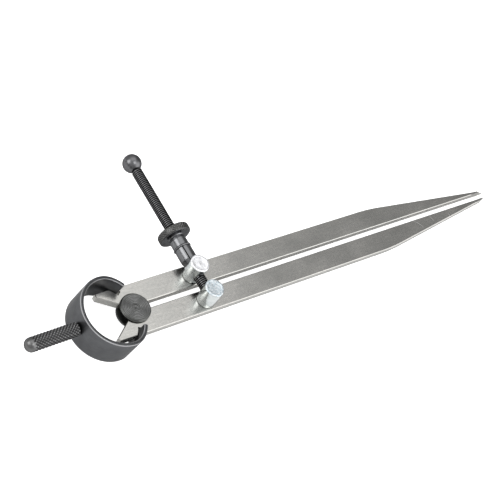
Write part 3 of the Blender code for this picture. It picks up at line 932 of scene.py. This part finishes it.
# %% Threaded screw
THREAD_PITCH = 0.8 * MM
THREAD_DEPTH = 0.44 * MM
THREAD_CREST = 0.15
THREAD_FOOT = 0.45
RIDGE_SUNK = 0.06 * MM
END_CHAMFER = 0.2 * MM
THREAD_STEPS = 28
ROOT_R = THREAD_R - THREAD_DEPTH
TENON_R = 1.3 * MM
THREAD_BLACK = make_black(
    "thread_black", ON_SCREW, (0.045, 0.045, 0.047), 0.34, crest=(ROOT_R, THREAD_R, 0.3)
)
SCREW_END_Y = BALL_Y - sqrt(BALL_R ** 2 - THREAD_R ** 2) - 0.1 * MM


def screw_core():
    """The screw's core from inside the right pillar to its tenon in the ball."""
    start = SCREW_LOW.y
    line = [(0, start), (ROOT_R - END_CHAMFER, start), (ROOT_R, start + END_CHAMFER), (ROOT_R, SCREW_END_Y)]
    line += [(TENON_R, SCREW_END_Y), (TENON_R, BALL_Y), (0, BALL_Y)]
    return spun("threaded_screw", line, 40)


def thread_ridge():
    """The helical ridge, wound by the Screw modifier from one section."""
    low = SCREW_LOW.y + THREAD_PITCH
    turns = int((SCREW_END_Y - low) / THREAD_PITCH)
    foot = ROOT_R - RIDGE_SUNK
    section = [
        (foot, low - THREAD_FOOT * THREAD_PITCH),
        (THREAD_R, low - THREAD_CREST * THREAD_PITCH),
        (THREAD_R, low + THREAD_CREST * THREAD_PITCH),
        (foot, low + THREAD_FOOT * THREAD_PITCH),
    ]
    ridge = drawn("thread_ridge", section, closed=True)
    bpy.ops.object.mode_set(mode="OBJECT")
    wind = ridge.modifiers.new("wind", "SCREW")
    wind.axis = "Z"
    wind.screw_offset = THREAD_PITCH
    wind.iterations = turns
    wind.steps = THREAD_STEPS
    wind.render_steps = THREAD_STEPS
    wind.use_merge_vertices = False
    bpy.ops.object.modifier_apply(modifier="wind")
    bpy.ops.object.mode_set(mode="EDIT")
    bpy.ops.mesh.select_all(action="SELECT")
    bpy.ops.mesh.fill_holes(sides=4)
    bpy.ops.mesh.normals_make_consistent(inside=False)
    bpy.ops.object.mode_set(mode="OBJECT")
    return ridge


core = screw_core()
ridge = thread_ridge()
only(core)
ridge.select_set(True)
bpy.ops.object.join()
screw = settle(core, ON_SCREW, 30)
dress(screw, THREAD_BLACK, "right_post", "thread_black", "adjusting_screw")

# %% [markdown]
# ## Ball
# The ball stops the nut from running off. It is turned too: its mouth has a small countersink for the
# thread, and the parting tool left a tiny flat at the far end.

# %% Ball
BALL_STEPS = 40
MOUTH_W = 0.35 * MM
FLAT_TURN = pi / 2 - 0.12
BALL_BLACK = make_black("ball_black", ON_SCREW, (0.12, 0.12, 0.125), 0.28, wear=0.4)


def ball_line():
    """Half the ball's section, from the floor of its hole round to the far end."""
    hole_r = TENON_R + FIT
    mouth_r = hole_r + MOUTH_W
    mouth_turn = -pi / 2 + atan2(mouth_r, sqrt(BALL_R ** 2 - mouth_r ** 2))
    mouth_y = BALL_Y + BALL_R * sin(mouth_turn)
    line = [(0, BALL_Y + FIT), (hole_r, BALL_Y + FIT), (hole_r, mouth_y + MOUTH_W)]
    for step in range(BALL_STEPS + 1):
        turn = mouth_turn + (FLAT_TURN - mouth_turn) * step / BALL_STEPS
        line.append((BALL_R * cos(turn), BALL_Y + BALL_R * sin(turn)))
    line.append((0, BALL_Y + BALL_R * sin(FLAT_TURN)))
    return line


ball = settle(spun("turned_ball", ball_line(), 80), ON_SCREW)
dress(ball, BALL_BLACK, "right_post", "ball_black", "screw_ball")

# %% [markdown]
# ## Quick-acting nut
# The nut is split so that it can be slipped along the screw. Its head has the knurled collar, a grooved
# neck and half of the barrel. The two jaws carry the rest of the barrel and the cone that the pillar
# squeezes shut, and a split wire ring holds them together.

# %% Nut head
COLLAR_R = (NUT_HIGH.x - NUT_LOW.x) / 2
COLLAR_END_Y = NUT_HIGH.y
COLLAR_Y = COLLAR_END_Y - 3.2 * MM
BARREL_R = (JAW_HIGH.z - JAW_LOW.z) / 2
BARREL_END_Y = 20.2 * MM
NECK_R = 3.0 * MM
SPIGOT_R = 2.75 * MM
SPIGOT_L = 2.5 * MM
GROOVE_Y = 15.9 * MM
GROOVE_W = NUT_LOW.y - GROOVE_Y
COLLAR_SIDES = 136
COLLAR_RINGS = 7
COLLAR_DEPTH = 0.24 * MM
COLLAR_ROUND = 0.55 * MM
COLLAR_LOW = COLLAR_Y + COLLAR_ROUND
COLLAR_STEP = (COLLAR_END_Y - COLLAR_ROUND - COLLAR_LOW) / COLLAR_RINGS
NUT_BLACK = make_black("nut_black", ON_SCREW, (0.145, 0.147, 0.152), 0.25, wear=2.0)
COLLAR_CREST = (COLLAR_R - COLLAR_DEPTH, COLLAR_R, 0.7)
COLLAR_BLACK = make_black("collar_black", ON_SCREW, (0.18, 0.18, 0.176), 0.28, crest=COLLAR_CREST)


def nut_head_line():
    """The head's whole section, from the ring groove up to the collar's end and back down the bore."""
    socket_r = SPIGOT_R + FIT
    socket_end = GROOVE_Y + SPIGOT_L + FIT
    line = [(socket_r, NUT_LOW.y), (BARREL_R - 0.12 * MM, NUT_LOW.y), (BARREL_R, NUT_LOW.y + 0.12 * MM)]
    line += [(BARREL_R, BARREL_END_Y - 0.3 * MM), (BARREL_R - 0.3 * MM, BARREL_END_Y)]
    line += [(NECK_R, BARREL_END_Y), (NECK_R, COLLAR_Y - 0.35 * MM), (NECK_R + 0.35 * MM, COLLAR_Y)]
    knurl_r = COLLAR_R - COLLAR_DEPTH / 2
    line += rounded(knurl_r, COLLAR_Y, COLLAR_ROUND, 1, -1)
    line += band(COLLAR_R, COLLAR_LOW + COLLAR_STEP / 2, COLLAR_STEP, COLLAR_RINGS - 1)
    line += rounded(knurl_r, COLLAR_END_Y, COLLAR_ROUND, 1, 1)[::-1]
    line += [(BORE_R + 0.4 * MM, COLLAR_END_Y), (BORE_R, COLLAR_END_Y - 0.4 * MM)]
    line += [(BORE_R, socket_end), (socket_r, socket_end)]
    return line


nut_head = spun("knurled_nut_head", nut_head_line(), COLLAR_SIDES, closed=True)
KNURL_START = COLLAR_LOW + COLLAR_STEP / 2
KNURL_INNER = COLLAR_R - COLLAR_DEPTH / 4
knurl(nut_head, KNURL_START, COLLAR_STEP, COLLAR_RINGS - 1, COLLAR_SIDES, COLLAR_DEPTH, KNURL_INNER)
settle(nut_head, ON_SCREW, 22)
dress(nut_head, NUT_BLACK, "nut", "nut_black", "nut_head")

# %% The collar's own finish
nut_head.data.materials.append(COLLAR_BLACK)
only(nut_head)
bpy.ops.object.mode_set(mode="EDIT")
to_screw = ON_SCREW.inverted()
pick(nut_head, lambda co: (to_screw @ co).xy.length > COLLAR_R - 1.2 * COLLAR_DEPTH)
nut_head.active_material_index = 1
bpy.ops.object.material_slot_assign()
bpy.ops.object.mode_set(mode="OBJECT")
print("collar faces:", sum(face.material_index == 1 for face in nut_head.data.polygons))

# %% [markdown]
# ## Jaws
# Both jaws are modelled as one turned piece that was slit lengthwise. So it is spun whole, with cone, barrel
# and spigot, and copied, and a bisect takes away all but each jaw's own side of the slit. The cut is filled,
# as sawn metal is solid.

# %% Nut jaws
SLIT_W = 0.4 * MM
SLIT_DEG = 25
GRIP_R = THREAD_R + 0.05 * MM


def jaw_line():
    """A jaw's whole section: cone, barrel and spigot."""
    edge = 0.12 * MM
    return [
        (GRIP_R, NOSE_TIP_Y),
        (NOSE_TIP_R, NOSE_TIP_Y),
        (NOSE_BASE_R, NOSE_BASE_Y),
        (BARREL_R - edge, NOSE_BASE_Y),
        (BARREL_R, NOSE_BASE_Y + edge),
        (BARREL_R, GROOVE_Y - edge),
        (BARREL_R - edge, GROOVE_Y),
        (SPIGOT_R, GROOVE_Y),
        (SPIGOT_R, GROOVE_Y + SPIGOT_L),
        (GRIP_R, GROOVE_Y + SPIGOT_L),
    ]


whole_jaw = spun("split_jaw_near", jaw_line(), 96, closed=True)
for jaw, name, side in ((whole_jaw, "near", -1), (copied(whole_jaw, "split_jaw_far"), "far", 1)):
    only(jaw)
    bpy.ops.object.mode_set(mode="EDIT")
    bpy.ops.mesh.select_all(action="SELECT")
    across = Vector((cos(radians(SLIT_DEG)), -sin(radians(SLIT_DEG)), 0)) * side
    bpy.ops.mesh.bisect(plane_co=across * SLIT_W / 2, plane_no=across, use_fill=True, clear_inner=True)
    bpy.ops.mesh.select_all(action="SELECT")
    bpy.ops.mesh.normals_make_consistent(inside=False)
    bpy.ops.object.mode_set(mode="OBJECT")
    settle(jaw, ON_SCREW)
    dress(jaw, NUT_BLACK, name + "_jaw", "nut_black", "nut_jaw_" + name)

# %% [markdown]
# ## Ring spring
# A split ring of round wire sits in the groove and pulls the jaws together. It is a torus with a few rings
# of vertices taken out for the gap, and the two wire ends are closed with flat faces.

# %% Ring spring with its gap
WIRE_R = 0.34 * MM
bpy.ops.object.select_all(action="DESELECT")
bpy.ops.mesh.primitive_torus_add(
    major_radius=SPIGOT_R + FIT + WIRE_R,
    minor_radius=WIRE_R,
    major_segments=96,
    minor_segments=16,
)
ring = bpy.context.object
ring.name = "ring_spring"
RING_GAP_DEG = 8
bpy.ops.object.mode_set(mode="EDIT")
pick(ring, lambda co: abs(atan2(co.y, co.x)) < radians(RING_GAP_DEG) / 2)
bpy.ops.mesh.delete(type="VERT")
bpy.ops.mesh.select_all(action="SELECT")
bpy.ops.mesh.fill_holes(sides=16)
bpy.ops.mesh.normals_make_consistent(inside=False)
bpy.ops.object.mode_set(mode="OBJECT")
settle(ring, ON_SCREW @ Matrix.Translation((0, 0, GROOVE_Y + GROOVE_W / 2)))
dress(ring, NUT_BLACK, "nut", "nut_black", "nut_ring")

# %% [markdown]
# ## Floor, lamps and camera
# The divider lies on a pale floor. It rests on the back edge of the bow and on its points, so the floor is
# tilted by that small angle. Three softboxes light it from overhead, from the left and from in front. The
# room is a plain sky that is brighter overhead, dims in one corner beyond the points and glows on one wall,
# so that the steel has something light and something dark to mirror. The camera stands where the
# photograph's perspective puts it.

# %% Floor under the bow's edge and the points
BOW_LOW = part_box("bow_spring")[0]
POINT_REST_X = 0.199
floor_slope = (LEG_BACK - BOW_LOW.z) / (POINT_REST_X - BOW_SEAT[0])
bpy.ops.object.select_all(action="DESELECT")
bpy.ops.mesh.primitive_plane_add(size=8)
floor = bpy.context.object
floor.name = "floor"
floor.rotation_euler = (0, -atan2(floor_slope, 1), 0)
floor.location = (BOW_SEAT[0], 0, BOW_LOW.z)
FLOOR_SEEN = 0.9
FLOOR_MIRRORED = 0.12
paper = bpy.data.materials.new("pale_floor")
paper.use_nodes = True
tree = paper.node_tree
shader = tree.nodes["Principled BSDF"]
shader.inputs["Base Color"].default_value = (0.75, 0.75, 0.75, 1)
shader.inputs["Roughness"].default_value = 0.9
shader.inputs["Specular IOR Level"].default_value = 0.1
seen = node(tree, "ShaderNodeLightPath")
mirrored = worked(tree, "MULTIPLY", seen.outputs["Is Glossy Ray"], FLOOR_MIRRORED)
lift = worked(tree, "MULTIPLY_ADD", seen.outputs["Is Camera Ray"], FLOOR_SEEN, mirrored)
shader.inputs["Emission Color"].default_value = (1, 1, 1, 1)
tree.links.new(lift, shader.inputs["Emission Strength"])
floor.data.materials.append(paper)
print("floor rises", round(floor_slope, 4), "per unit of length")


# %% Lamps
def softbox(name, place, aim, size_x, size_y, watts):
    """A soft rectangular lamp that faces a point."""
    bpy.ops.object.select_all(action="DESELECT")
    bpy.ops.object.light_add(type="AREA", location=place)
    lamp = bpy.context.object
    lamp.name = name
    lamp.data.shape = "RECTANGLE"
    lamp.data.size = size_x
    lamp.data.size_y = size_y
    lamp.data.energy = watts
    lamp.rotation_mode = "QUATERNION"
    lamp.rotation_quaternion = (Vector(aim) - Vector(place)).to_track_quat("-Z", "Y")
    return lamp


softbox("overhead_softbox", (0.15, 0.40, 1.05), (0.05, 0.05, 0), 1.1, 0.8, 2.1)
softbox("left_softbox", (-0.90, 0.43, 0.67), (0, 0, 0), 0.75, 0.75, 5.0)
softbox("front_softbox", (0.14, -0.50, 1.08), (0, 0, 0), 0.55, 0.55, 3.0)


# %% Room with a dark corner behind the points
DARK_CORNER = Vector((0.85, 0.25, 0.46)).normalized()
FRONT_WALL = Vector((0.62, -0.71, 0.30)).normalized()
ROOM_HORIZON = 0.45
ROOM_OVERHEAD = 0.78
OVERHEAD_START = 0.75
CORNER_SHARE = 0.37
WALL_GLOW = 1.5
world = bpy.data.worlds.new("room")
bpy.context.scene.world = world
world.use_nodes = True
tree = world.node_tree
room = tree.nodes["Background"]
direction = node(tree, "ShaderNodeTexCoord").outputs["Generated"]
sky = ranged(tree, split(tree, direction)["Z"], ROOM_HORIZON, ROOM_OVERHEAD, 0.0, OVERHEAD_START)


def towards(place):
    """How far the direction points towards a place in the room, from -1 to 1."""
    return compared(tree, "DOT_PRODUCT", direction, place)["Value"]


corner = ranged(tree, towards(DARK_CORNER), 1.0, CORNER_SHARE, 0.86, 0.99)
wall = ranged(tree, towards(FRONT_WALL), 0.0, WALL_GLOW, 0.80, 0.95)
level = worked(tree, "MULTIPLY_ADD", sky, corner, wall)
tree.links.new(level, room.inputs["Strength"])
room.inputs["Color"].default_value = (1, 1, 1, 1)
print("room:", len(tree.nodes), "nodes")

# %% Camera at the photograph's viewpoint
bpy.ops.object.select_all(action="DESELECT")
bpy.ops.object.camera_add(
    location=(-0.23486, -0.14530, 0.36666 + LEG_FRONT),
    rotation=(radians(35.922), radians(-24.201), radians(-33.108)),
)
camera = bpy.context.object
camera.name = "photo_camera"
camera.data.lens = 87.39
camera.data.sensor_width = 36
camera.data.clip_start = 0.01
camera.data.clip_end = 20
bpy.context.scene.camera = camera
bpy.context.scene.view_settings.view_transform = "Standard"
print("camera:", [round(part, 3) for part in camera.location])
